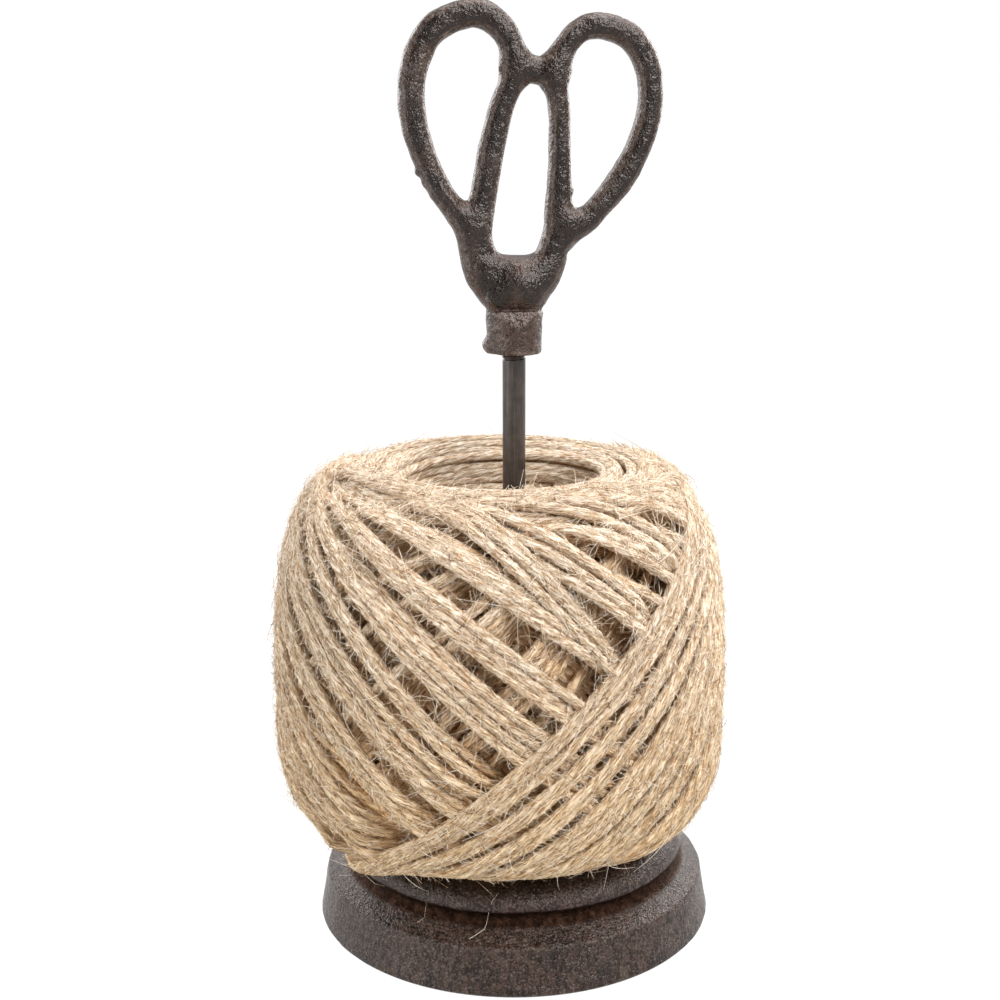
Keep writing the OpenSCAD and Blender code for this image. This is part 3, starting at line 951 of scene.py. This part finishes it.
def winding():
    """The twine's way over the ball, as azimuth and arc length: s = swing * cos(azimuth - phase), where a
    wide turn also takes off some cos of three times that, so that it follows the mouth's lip for longer. The
    phase falls from turn to turn, mostly at the back, so the tilted loops creep round the ball. The turns
    come in clumps, with short steps inside a clump and a longer one between two. In part of the last round
    some wide turns reach over to the mouth's lip."""
    draw = np.random.default_rng(WINDING_SEED)
    turns = OLD_TURNS + OUTER_TURNS
    newest = list(NEWEST_CLUMPS)
    steps, swings = [], []
    while len(steps) < turns:
        if newest:
            size, gap = newest.pop(0)
            swing = NEWEST_SWING + draw.uniform(*NEWEST_SPREAD)
        else:
            size, gap = int(draw.choice(CLUMP_SIZES)), draw.uniform(*GAP_STEPS)
            swing = draw.uniform(*SWINGS)
        steps += [*(TURN_STEP * draw.uniform(*STEP_SPREAD, size - 1)), gap]
        swings += list(swing + draw.uniform(-CLUMP_SPREAD, CLUMP_SPREAD, size))
        round_so_far = NEWEST_PHASE + sum(steps)
        if draw.uniform() < np.interp(round_so_far, *WIDE_CHANCE):
            wide = int(draw.choice(WIDE_SIZES))
            steps += [WIDE_STEP] * wide
            swings += list(draw.uniform(*WIDE_SWINGS) + WIDE_SPREAD * np.arange(wide))
    phase = np.radians(NEWEST_PHASE + np.concatenate([[0], np.cumsum(steps[:turns - 1])])[::-1])
    swing = np.array(swings[:turns])[::-1]
    turn = np.arange(turns * PER_TURN) / PER_TURN
    k = np.clip(np.floor(turn - 0.5).astype(int), 0, turns - 2)
    share = smoothstep(*CREEP_SPAN, turn - 0.5 - k)
    azimuth = 2 * np.pi * turn + np.pi / 2
    lag = azimuth - (phase[k] + (phase[k + 1] - phase[k]) * share)
    reach = swing[k] + (swing[k + 1] - swing[k]) * share
    knots = np.arange(0, turns + 3, 3)
    wobble = WOBBLE * np.cos(2 * lag + np.interp(turn, knots, draw.uniform(0, 6.3, len(knots))))
    flat = LIP_FLATNESS * smoothstep(*LIP_SWINGS, reach)
    sway = (np.cos(lag) - flat * np.cos(3 * lag)) / (1 - flat)
    return azimuth, reach * sway + wobble


def soften(values, reach):
    """A running mean over a reach of samples, taken three times, which is close to a bell curve."""
    window = np.ones(2 * reach + 1) / (2 * reach + 1)
    for _ in range(3):
        padded = np.pad(values, reach, mode="edge")
        values = np.convolve(padded, window, mode="valid")
    return values


def eased(depth, step):
    """A strand's depth where it can only slope so fast: at each place the greatest of the depths nearby,
    each lessened by the slope times the distance. The step is the distance between two places."""
    reach = int(DEEPEST_LAYER / STRAND_SLOPE / step)
    padded = np.pad(depth, reach, mode="edge")
    near = np.lib.stride_tricks.sliding_window_view(padded, 2 * reach + 1)
    away = np.abs(np.arange(-reach, reach + 1)) * step
    return (near - STRAND_SLOPE * np.maximum(away - TWINE_D, 0)).max(1)


def blurred(level, reach):
    """A map blurred by a bell curve of that many cells, closed round the columns and held at the end
    rows."""
    edge = int(4 * reach)
    padded = np.pad(level, ((edge, edge), (0, 0)), mode="edge")
    rows, columns = padded.shape
    waves = np.fft.fftfreq(rows)[:, None] ** 2 + np.fft.rfftfreq(columns)[None, :] ** 2
    fade = np.exp(-2 * (np.pi * reach) ** 2 * waves)
    return np.fft.irfft2(np.fft.rfft2(padded) * fade, s=padded.shape)[edge:-edge]


def layers(azimuth, s, outline):
    """How deep the top of each point of the twine lies below the ball's outline. The turns are taken from
    the newest to the oldest over a map of the ball: a turn goes under the most that lies over its middle,
    bends no faster than its slope, and then adds its own pressed thickness to the map. In the end the
    blurred top of all turns is brought to the outline."""
    run, radius = outline[0], outline[1]
    columns = int(2 * np.pi * BALL_R / LAYER_CELL)
    rows = int((run[-1] - run[0]) / LAYER_CELL) + 1

    def cells(angle, place):
        column = (angle / (2 * np.pi) * columns).astype(int) % columns
        row = np.clip(((place - run[0]) / LAYER_CELL).astype(int), 0, rows - 1)
        return row, column

    cover = np.zeros((rows, columns))
    top = np.full((rows, columns), DEEPEST_LAYER)
    twine_r = TWINE_D / 2
    offsets = np.linspace(-0.82, 0.82, 9) * twine_r
    middle = slice(2, -2)
    bulge = np.sqrt(twine_r ** 2 - offsets ** 2)
    depth = np.zeros(len(s))
    r = np.interp(s, run, radius)
    for start in range(len(s) - PER_TURN, -1, -PER_TURN):
        part = slice(start, start + PER_TURN)
        east = np.gradient(azimuth[part]) * r[part]
        north = np.gradient(s[part])
        length = np.hypot(east, north)
        angle = azimuth[part, None] - offsets * (north / length / r[part])[:, None]
        at = cells(angle, s[part, None] + offsets * (east / length)[:, None])
        under = cover[at][:, middle].max(1)
        # A turn's last points meet the newer turn that it runs on into, which doesn't lie over them.
        under[-10:] = under[-11]
        depth[part] = np.minimum(soften(eased(under, length.mean()), 4), DEEPEST_LAYER)
        np.maximum.at(cover, at, depth[part, None] + LAYER_PRESS * (twine_r + bulge))
        np.minimum.at(top, at, depth[part, None] + twine_r - bulge)
    level = blurred(top, 6.0 / LAYER_CELL)
    proud, sunk = -0.5, 0.8
    settled = np.maximum(soften(depth - level[cells(azimuth, s)] + sunk, 5), proud)
    return settled + pressed_foot(azimuth, s)


def pressed_foot(azimuth, s):
    """How far the ball's underside is pressed up: most at the front and least at the right, less a sag over
    the base's edge at the front left. A lobe is height * exp(sharpness * (cos(azimuth - its middle) -
    1))."""
    def lobe(height, middle, sharpness):
        return height * np.exp(sharpness * (np.cos(azimuth - math.radians(middle)) - 1))

    pressed = FOOT_PRESS + lobe(*FRONT_PRESS) - lobe(*RIGHT_EASE)
    sag = lobe(*LEFT_SAG) * smoothstep(*SAG_SPANS[0], s) * smoothstep(*SAG_SPANS[1], s)
    return pressed * smoothstep(*PRESS_SPAN, s) - sag


def strand_path(azimuth, s, depth, outline):
    """Places (azimuth, arc length, depth) as points, with the outward normal there: the outline's point
    moved in along its normal, and turned round the ball's axis."""
    run, radius, height, out_r, out_z = outline
    nr, nz = np.interp(s, run, out_r), np.interp(s, run, out_z)
    r = np.interp(s, run, radius) - depth * nr
    z = np.interp(s, run, height) - depth * nz
    c, sn = np.cos(azimuth), np.sin(azimuth)
    return np.stack([BALL_X + r * c, r * sn, z], -1), np.stack([nr * c, nr * sn, nz], -1)


def strand_frame(points, normals):
    """Unit vectors along the strand, out of the ball and across."""
    run = unit(np.gradient(points, axis=0))
    out = unit(normals - run * (normals * run).sum(1, keepdims=True))
    return run, out, np.cross(run, out)


def strand_mesh(name, points, normals, depth, start_length, draw):
    """A three-ply strand along a path: a ring of three lobes that turns against the clock once in each lay,
    so the plies run along the mesh. Its thickness wanders. UV: length, and the turn of the single fibres,
    which lie a quarter as steep as the plies."""
    fibre_lay = 0.75
    sides = len(PLY_SECTION)
    rows = len(points)
    _, out, across = strand_frame(points, normals)
    length = length_along(points) + start_length
    knots = np.arange(length[0], length[-1] + WANDER_STEP + 1, WANDER_STEP)
    wander = 1 + WANDER * np.interp(length, knots, draw.uniform(-1, 1, len(knots)))
    tint = np.interp(length, knots[::6], draw.uniform(-1, 1, len(knots[::6])))
    lay = -2 * np.pi * length / TWINE_LAY
    angle = (2 * np.pi * np.arange(sides) / sides)[None, :] + lay[:, None]
    lumps = draw.normal(0, 1, (rows + 2, sides))
    lumps = (lumps[:-2] + lumps[1:-1] + lumps[2:]) / 3
    reach = (TWINE_D / 2 * wander)[:, None] * PLY_SECTION[None, :] * (1 + STRAND_LUMPS * lumps)
    ring = points[:, None] + reach[..., None] * (
        np.cos(angle)[..., None] * out[:, None] + np.sin(angle)[..., None] * across[:, None])
    mesh = make_mesh(name, ring, [group[:, ::-1] for group in tube_faces(rows, sides)])
    # For the yarn: the painted shade between the plies, a random tint, and how deep the strand lies, for its
    # painted glow.
    deep = smoothstep(TWINE_D * 0.7, TWINE_D * 1.6, depth)
    set_values(
        mesh, valley=np.tile(PLY_VALLEY, rows), tint=np.repeat(tint, sides), deep=np.repeat(deep, sides),
    )
    turn = (np.arange(sides + 1) / sides)[None, :] + (fibre_lay * lay / (2 * np.pi))[:, None]
    place = np.stack([np.broadcast_to(length[:, None], turn.shape), turn], -1)
    quads = np.stack([place[:-1, :-1], place[:-1, 1:], place[1:, 1:], place[1:, :-1]], 2)[:, :, ::-1]
    set_strand_uv(mesh, np.concatenate([quads.reshape(-1, 2), place[0, :-1], place[-1, :-1][::-1]]))
    return mesh


def twine_turns(material, outline):
    """The wound twine, in pieces of some turns each. Returns the outer turns' path, normals and depth for
    the fuzz."""
    azimuth, s = winding()
    depth = layers(azimuth, s, outline) + TWINE_D / 2
    points, normals = strand_path(azimuth, s, depth, outline)
    draw = np.random.default_rng(STRAND_SEED)
    first_outer = OLD_TURNS * PER_TURN
    length = 0.0
    for name, start, end, stride, pieces in (
        ("twine_old_turns", 0, first_outer, 4, 2), ("twine_outer_turns", first_outer, len(s) - 1, 3, 4),
    ):
        cuts = np.linspace(start, end, pieces + 1).astype(int)
        for k in range(pieces):
            at = np.append(np.arange(cuts[k], cuts[k + 1], stride), cuts[k + 1])
            mesh = strand_mesh(f"{name}_{k + 1}", points[at], normals[at], depth[at], length, draw)
            length += length_along(points[at])[-1]
            add_piece(mesh, material, "twine_ball", ("twine_outer_turns",))
    shown = slice(first_outer, None, 2)
    return points[shown], normals[shown], depth[shown]


def lining(material, outline, name, start, step, turns):
    """Older turns round the mouth or the foot: a spiral that creeps along the outline from a place, by a
    step for each turn. Its place and depth wander, so that its strands cross and sink among each other."""
    t = np.linspace(0, turns, turns * LINING_PER_TURN)
    azimuth = 2 * np.pi * t
    draw = np.random.default_rng(LINING_SEED)
    knots = np.arange(0, turns + 0.3, 0.28)
    aside = soften(np.interp(t, knots, draw.normal(0, 1.1, len(knots))), 13)
    sink = soften(np.interp(t, knots, draw.normal(0, 0.5, len(knots))), 13)
    s = start + step * t + aside + 1.2 * np.cos(azimuth - 2.1 * t)
    depth = LINING_DEPTH + sink
    for rise, span in (LIP_RISE, MOUTH_RISE):
        depth -= rise * smoothstep(*span, s)
    points, normals = strand_path(azimuth, s, depth + pressed_foot(azimuth, s), outline)
    mesh = strand_mesh(name, points, normals, np.ones(len(s)), 0.0, draw)
    add_piece(mesh, material, "twine_ball", ("twine_core",))


def twine_heart(material):
    """The body of older turns under the outer ones: the outline drawn in, a funnel and the open middle."""
    shell = superoval(np.linspace(-84, 84, 60), *HEART_OVAL)
    funnel = [(r + FUNNEL_LINING, z) for r, z in FUNNEL]
    inside = along([HEART_MOUTH, *funnel, *HEART_BORE], 2.0)
    r, z = np.concatenate([shell, inside]).T
    points = lathe(r[:, None], z, HEART_COLUMNS) + np.array([BALL_X, 0, 0])
    mesh = make_mesh("twine_heart", points, [grid_faces(len(z), HEART_COLUMNS, True)])
    count = len(mesh.vertices)
    # Painted shade over the whole heart: crease shade everywhere and a darker tint, under the painted glow of
    # deep strands.
    set_values(mesh, valley=np.full(count, 0.6), tint=np.full(count, -0.5), deep=np.ones(count))
    corner = np.zeros(len(mesh.loops), np.int32)
    mesh.loops.foreach_get("vertex_index", corner)
    place, _ = read_points(mesh)
    flat = np.stack([np.arctan2(place[:, 1], place[:, 0] - BALL_X) * 40, place[:, 2] / 9], -1)
    set_strand_uv(mesh, flat[corner])
    add_piece(mesh, material, "twine_ball", ("twine_core",))


def base_top(radius):
    """Height of the base's upper side at a radius, by straight lines between places on its outline."""
    r, z = np.transpose([
        (0, PLATFORM_H), (PLATFORM_R, PLATFORM_H), (40.5, 22.3), (42.4, 20.6), (RISER_R, RISER_TOP),
        (SHOULDER_R, SHOULDER_H + 0.3), (SKIRT_TOP_R - 0.4, SKIRT_H + 0.3), (SKIRT_TOP_R + 0.6, SKIRT_H - 1),
        (FOOT_R, 0.6), (FOOT_R + 1, 0),
    ])
    return np.interp(radius, r, z)


def hair_mesh(name, roots, heads, curls, thickness, tints, rings, axis_x):
    """Many fibres as three-sided tubes. Each is a curve root + t head + t^2 curl, tapered to its tip, and
    held above the base at every turn about an upright axis that far along x."""
    sides = 3
    taper = 0.6
    clear = 0.15 + 0.08 * abs(axis_x)
    t = np.linspace(0, 1, rings)
    line = roots[:, None] + t[None, :, None] * heads[:, None] + (t ** 2)[None, :, None] * curls[:, None]
    nearest = np.maximum(np.hypot(line[..., 0] - axis_x, line[..., 1]) - abs(axis_x), 0)
    line[..., 2] = np.maximum(line[..., 2], base_top(nearest) + clear)
    run = unit(heads[:, None] + 2 * t[None, :, None] * curls[:, None])
    helper = np.where(np.abs(run[..., 2:]) < 0.8, np.array([0, 0, 1.0]), np.array([1.0, 0, 0]))
    side = unit(np.cross(run, helper))
    other = np.cross(run, side)
    width = thickness[:, None] * (1 - taper * t[None, :])
    angle = (2 * np.pi * np.arange(sides) / sides)[None, None, :, None]
    ring = line[:, :, None] + width[:, :, None, None] * (
        np.cos(angle) * side[:, :, None] + np.sin(angle) * other[:, :, None])
    first = (np.arange(len(roots)) * rings * sides)[:, None, None]
    groups = [(group + first).reshape(-1, group.shape[1]) for group in tube_faces(rings, sides)]
    mesh = make_mesh(name, ring, groups)
    set_values(mesh, tint=np.repeat(tints, rings * sides))
    return mesh


def twine_fuzz(material, points, normals, depth):
    """Loose fibres of the outer turns. Each leaves a strand's upper side in a way between along and across
    it, and curls in the ball's skin: its height over the root is held between a little below and the
    tallest."""
    draw = np.random.default_rng(FUZZ_SEED)
    run, out, across = strand_frame(points, normals)
    share = FUZZ_LEAST + (1 - FUZZ_LEAST) * smoothstep(*FUZZ_HEIGHTS, points[:, 2])
    kept = draw.uniform(0, 1, len(depth)) < share
    shown = np.flatnonzero((depth < FUZZ_DEPTH) & kept)
    for name, count, shortest, longest, lift, tallest, rings in FUZZ:
        at = draw.choice(shown, count)
        angle = draw.normal(0, FUZZ_FAN, count)[:, None]
        off = np.cos(angle) * out[at] + np.sin(angle) * across[at]
        roots = points[at] + off * TWINE_D * FUZZ_ROOT
        way = draw.uniform(0, 2 * np.pi, count)[:, None]
        length = draw.uniform(shortest, longest, count)[:, None]
        lean = draw.uniform(0.0, 1.0, count)[:, None] * lift
        heads = length * unit(run[at] * np.cos(way) + across[at] * np.sin(way) + off * lean * 2)
        curls = draw.normal(0, FUZZ_CURL, (count, 3)) * length
        for t in (0.5, 1.0):
            rise = ((heads * t + curls * t ** 2) * out[at]).sum(1, keepdims=True)
            heads += out[at] * (np.clip(rise, FUZZ_LOWEST, tallest) - rise) / t
        width = draw.uniform(*FUZZ_WIDTHS, count)
        mesh = hair_mesh(name, roots, heads, curls, width, draw.uniform(0, 1, count), rings, BALL_X)
        add_piece(mesh, material, "twine_ball", ("twine_outer_turns",))


def stray_fibres(material):
    """A few fibres that have dropped on the base, each lying on its top from one place to another."""
    draw = np.random.default_rng(STRAY_SEED)
    start, end = np.pad(np.array(STRAY_ENDS, float), ((0, 0), (0, 0), (0, 1))).transpose(1, 0, 2)
    curls = draw.normal(0, STRAY_CURL, start.shape) * (1, 1, 0)
    heads = end - start - curls * 0.5
    width = draw.uniform(*STRAY_WIDTHS, len(start))
    tints = draw.uniform(0, 0.6, len(start))
    mesh = hair_mesh("stray_fibres", start, heads, curls, width, tints, STRAY_RINGS, 0.0)
    add_piece(mesh, material, "stand")


# Studio

def aim(thing, eye, target):
    """Puts a lamp or the camera at a place and turns it towards another."""
    thing.location = Vector(eye) * MM
    thing.rotation_euler = (Vector(target) - Vector(eye)).to_track_quat("-Z", "Y").to_euler()


def backdrop():
    """A white backdrop. It shows white, and lights the object less, least from the front."""
    world = bpy.data.worlds.new("studio")
    bpy.context.scene.world = world
    world.use_nodes = True
    sky = Nodes(world.node_tree)
    front_to_back = sky.axis(sky.node("ShaderNodeTexCoord", None, None, "Generated"), 1)
    front, side = -0.9, 0.3
    spans = {0: front_to_back, 1: front, 2: side, 3: FRONT_LIGHT, 4: WORLD_LIGHT}
    level = sky.node("ShaderNodeMapRange", None, spans)
    seen = sky.node("ShaderNodeLightPath", None, None, "Is Camera Ray")
    shown = sky.node("ShaderNodeMix", None, {"Factor": seen, "A": level, "B": 1.0})
    sky.feed(sky.tree.nodes["Background"], {"Color": colour(1.0, 1.0, 1.0), "Strength": shown})


def studio():
    """A white floor, and broad soft lights from above, both sides and behind."""
    bpy.context.scene.view_settings.view_transform = "Standard"
    corners = np.array([(-1, -1, 0), (1, -1, 0), (1, 1, 0), (-1, 1, 0)]) * FLOOR_SIZE
    mesh = make_mesh("floor", corners, [np.array([[0, 1, 2, 3]])])
    floor = put(mesh)
    paper = Finish("white_paper")
    seen = paper.node("ShaderNodeLightPath", None, None, "Is Camera Ray")
    glow = paper.blend(seen, colour(0.82, 0.82, 0.82), colour(1.0, 1.0, 1.0))
    mesh.materials.append(paper.finish(
        Base_Color=colour(0.05, 0.05, 0.05), Roughness=0.9, Emission_Color=glow, Emission_Strength=1.0,
    ))
    for name, place, size, power in LAMPS:
        lamp = bpy.data.lights.new(name, "AREA")
        lamp.size = size * MM
        lamp.energy = power
        aim(put(lamp), place, LAMP_AIM)


def camera():
    """The photograph's camera, with a small shift because the stand's axis is right of the picture's
    middle."""
    lens = bpy.data.cameras.new("camera")
    lens.sensor_width = 36.0
    lens.lens = CAMERA_FOCAL_PX / PHOTO_PX * lens.sensor_width
    lens.shift_x = (PHOTO_PX / 2 - STAND_AXIS_PX) / PHOTO_PX
    lens.clip_start = 0.01
    holder = put(lens)
    aim(holder, CAMERA_EYE, CAMERA_AIM)
    bpy.context.scene.camera = holder


camera()
backdrop()
studio()
base_casting(cast_iron("base_iron", 0.8, 0.48, 0.43))
finial_casting(cast_iron("finial_iron", 0.0, 0.30, 0.55))
spindle_rod(rod_steel())
plated = fixing_steel()
for node in ("washer", "lock_nut"):
    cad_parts[node].data.materials.clear()
    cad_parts[node].data.materials.append(plated)
yarn = jute("jute_yarn", 1.02)
# The older turns in the mouth and under the foot are made darker: painted shade.
older_yarn_shaded = jute("jute_older_yarn_shaded", 0.92)
ball = ball_outline()
outer_turns = twine_turns(yarn, ball)
for older in LININGS:
    lining(older_yarn_shaded, ball, *older)
twine_heart(yarn)
fibre = loose_fibre()
twine_fuzz(fibre, *outer_turns)
stray_fibres(fibre)
